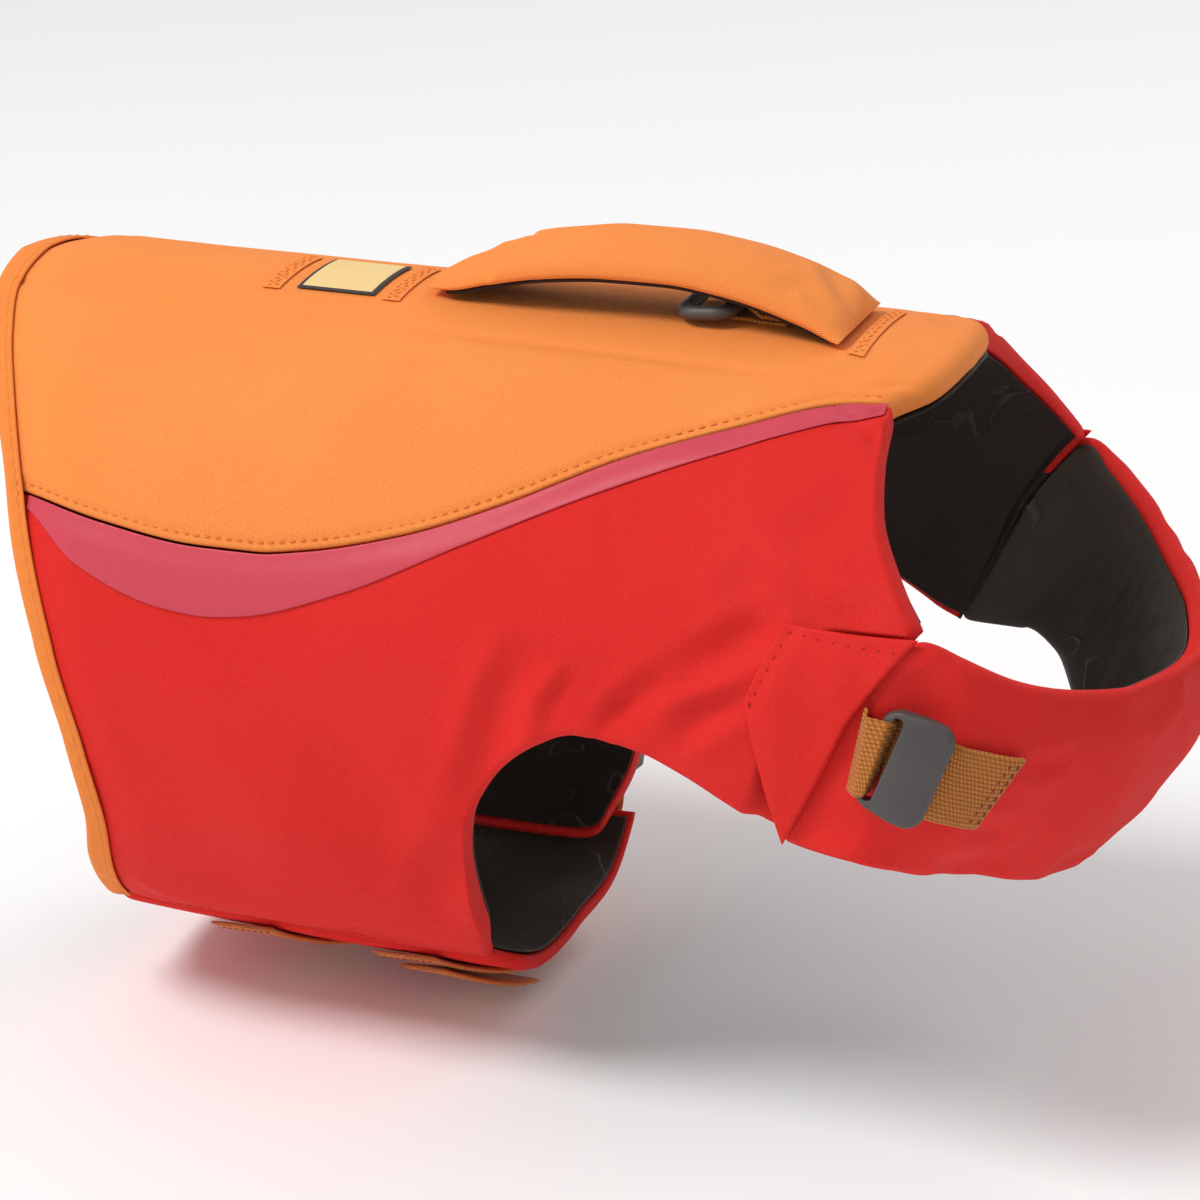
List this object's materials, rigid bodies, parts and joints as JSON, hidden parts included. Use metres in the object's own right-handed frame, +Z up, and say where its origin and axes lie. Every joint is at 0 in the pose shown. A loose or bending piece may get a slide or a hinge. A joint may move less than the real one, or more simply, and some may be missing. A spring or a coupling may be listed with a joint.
{
  "type": "dog life jacket",
  "caption": "Dog life jacket in its worn form: padded back and sides, chest band, belly panel, top handle and leash ring.",
  "frame": {"origin": "on the inner face of the lining, at the spine, 150 mm ahead of the datum of the tail hem, where the dog's back carries the jacket", "axes": "+X towards the dog's head, +Y to the dog's left, +Z up"},
  "size_m": [0.3918, 0.2255, 0.2533],
  "materials": {
    "back_cloth": "woven twill",
    "side_cloth": "woven twill",
    "accent_cloth": "smooth, slightly shiny",
    "binding_tape": "woven tape",
    "lining_cloth": "soft wrinkled lining",
    "webbing": "ribbed webbing",
    "moulded_plastic": "satin moulded",
    "patch": "woven patch, plain"
  },
  "bodies": {
    "jacket": {"back_panel": "back_cloth", "lining_back": "lining_cloth", "side_panel_right": "side_cloth", "lining_right": "lining_cloth", "accent_right": "accent_cloth", "chest_tab_right": "side_cloth", "chest_webbing_right": "webbing", "slider_right": "moulded_plastic", "slider_loop_right": "webbing", "side_panel_left": "side_cloth", "lining_left": "lining_cloth", "accent_left": "accent_cloth", "chest_tab_left": "side_cloth", "chest_webbing_left": "webbing", "slider_left": "moulded_plastic", "slider_loop_left": "webbing", "hem_binding": "binding_tape", "chest_panel": "side_cloth", "lining_chest": "lining_cloth", "belly_panel": "side_cloth", "lining_belly": "lining_cloth", "belly_strap_rear": "webbing", "belly_anchor_rear": "webbing", "buckle_socket_rear": "moulded_plastic", "buckle_tongue_rear": "moulded_plastic", "belly_strap_front": "webbing", "belly_anchor_front": "webbing", "buckle_socket_front": "moulded_plastic", "buckle_tongue_front": "moulded_plastic", "belly_strap_tail": "webbing", "handle": "back_cloth", "handle_lining": "lining_cloth", "tack_rear": "binding_tape", "tack_middle": "binding_tape", "tack_front": "binding_tape", "label": "patch", "ring_loop": "webbing"},
    "leash_ring": {"leash_ring": "moulded_plastic"}
  },
  "joints": [
    {"name": "ring_swing", "type": "hinge", "parent": "jacket", "child": "leash_ring", "pos_m": [0.081, 0, 0.0146], "axis": [0, 1, 0], "range_deg": [0, 20]}
  ]
}
